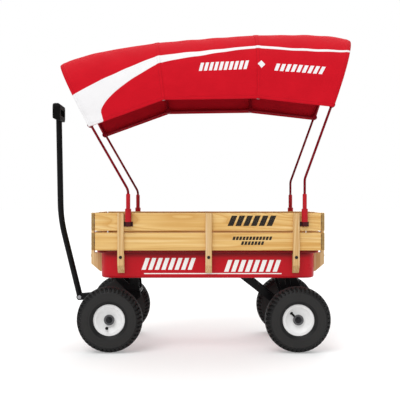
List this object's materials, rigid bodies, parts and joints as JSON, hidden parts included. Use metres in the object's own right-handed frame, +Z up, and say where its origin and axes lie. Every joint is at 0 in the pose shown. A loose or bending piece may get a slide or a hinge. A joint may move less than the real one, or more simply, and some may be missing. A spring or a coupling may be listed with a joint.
{
  "type": "pull wagon",
  "caption": "Children's pull wagon: steel tray with wooden plank sides, pneumatic wheels, steering front axle, upright pull handle and a lift-off fabric canopy on arched rods.",
  "frame": {"origin": "on the ground, under the middle of the overall box", "axes": "+Z up, +X from the handle end to the rear, +Y towards the wagon's right side"},
  "size_m": [1.2684, 0.541, 1.3237],
  "materials": {
    "red_enamel": "glossy red enamel",
    "plank_wood": "clear satin varnish",
    "stake_wood": "clear satin varnish",
    "black_steel": "gloss black powder coat",
    "zinc_steel": "zinc plated",
    "tyre_rubber": "moulded rubber",
    "white_rim": "gloss white paint",
    "bearing_steel": "oiled dark steel",
    "red_plastic": "glossy moulding",
    "black_plastic": "fine moulded texture",
    "red_rod": "gloss dark red powder coat",
    "canopy_fabric": "woven polyester"
  },
  "bodies": {
    "wagon": {"tray": "red_enamel", "plank_left_lower": "plank_wood", "plank_left_upper": "plank_wood", "plank_right_lower": "plank_wood", "plank_right_upper": "plank_wood", "plank_front_lower": "plank_wood", "plank_front_upper": "plank_wood", "plank_rear_lower": "plank_wood", "plank_rear_upper": "plank_wood", "stakes_left": "stake_wood", "stakes_right": "stake_wood", "stakes_front": "stake_wood", "stakes_rear": "stake_wood", "plank_screws": "zinc_steel", "stake_bolts": "zinc_steel", "corner_brackets": "zinc_steel", "front_bolster": "black_steel", "rear_hanger_left": "black_steel", "rear_hanger_right": "black_steel", "rear_brace_left": "black_steel", "rear_brace_right": "black_steel", "frame_bolts": "zinc_steel", "kingpin": "zinc_steel", "rear_axle": "zinc_steel", "rear_axle_retainers": "bearing_steel", "socket_clips": "black_plastic", "canopy_socket_front_left": "red_plastic", "canopy_socket_front_right": "red_plastic", "canopy_socket_rear_left": "red_plastic", "canopy_socket_rear_right": "red_plastic"},
    "steering": {"axle_fork": "black_steel", "tongue": "black_steel", "pivot_bolt": "zinc_steel", "front_axle": "zinc_steel", "front_axle_retainers": "bearing_steel"},
    "handle": {"handle_eye": "black_steel", "handle_tube": "black_steel", "handle_grip": "black_plastic"},
    "canopy": {"canopy_bow_front": "red_rod", "canopy_bow_rear": "red_rod", "canopy_rib_front": "red_rod", "canopy_rib_rear": "red_rod", "hem_rail_left": "red_rod", "hem_rail_right": "red_rod", "canopy_joiners": "black_plastic", "canopy_cloth": "canopy_fabric"},
    "wheel_front_left": {"tyre_front_left": "tyre_rubber", "rim_front_left": "white_rim", "bearings_front_left": "bearing_steel"},
    "wheel_front_right": {"tyre_front_right": "tyre_rubber", "rim_front_right": "white_rim", "bearings_front_right": "bearing_steel"},
    "wheel_rear_left": {"tyre_rear_left": "tyre_rubber", "rim_rear_left": "white_rim", "bearings_rear_left": "bearing_steel"},
    "wheel_rear_right": {"tyre_rear_right": "tyre_rubber", "rim_rear_right": "white_rim", "bearings_rear_right": "bearing_steel"}
  },
  "joints": [
    {"name": "steer", "type": "hinge", "parent": "wagon", "child": "steering", "pos_m": [-0.2897, 0, 0.226], "axis": [0, 0, 1], "range_deg": [-30, 30]},
    {"name": "handle_swing", "type": "hinge", "parent": "steering", "child": "handle", "pos_m": [-0.5272, 0, 0.1947], "axis": [0, -1, 0], "range_deg": [-10, 85]},
    {"name": "canopy_lift", "type": "slide", "parent": "wagon", "child": "canopy", "axis": [0, 0, 1], "range_m": [0, 0.1]},
    {"name": "wheel_front_left_spin", "type": "hinge", "parent": "steering", "child": "wheel_front_left", "pos_m": [-0.3707, -0.228, 0.133], "axis": [0, 1, 0], "continuous": true},
    {"name": "wheel_front_right_spin", "type": "hinge", "parent": "steering", "child": "wheel_front_right", "pos_m": [-0.3707, 0.228, 0.133], "axis": [0, 1, 0], "continuous": true},
    {"name": "wheel_rear_left_spin", "type": "hinge", "parent": "wagon", "child": "wheel_rear_left", "pos_m": [0.3873, -0.228, 0.133], "axis": [0, 1, 0], "continuous": true},
    {"name": "wheel_rear_right_spin", "type": "hinge", "parent": "wagon", "child": "wheel_rear_right", "pos_m": [0.3873, 0.228, 0.133], "axis": [0, 1, 0], "continuous": true}
  ]
}
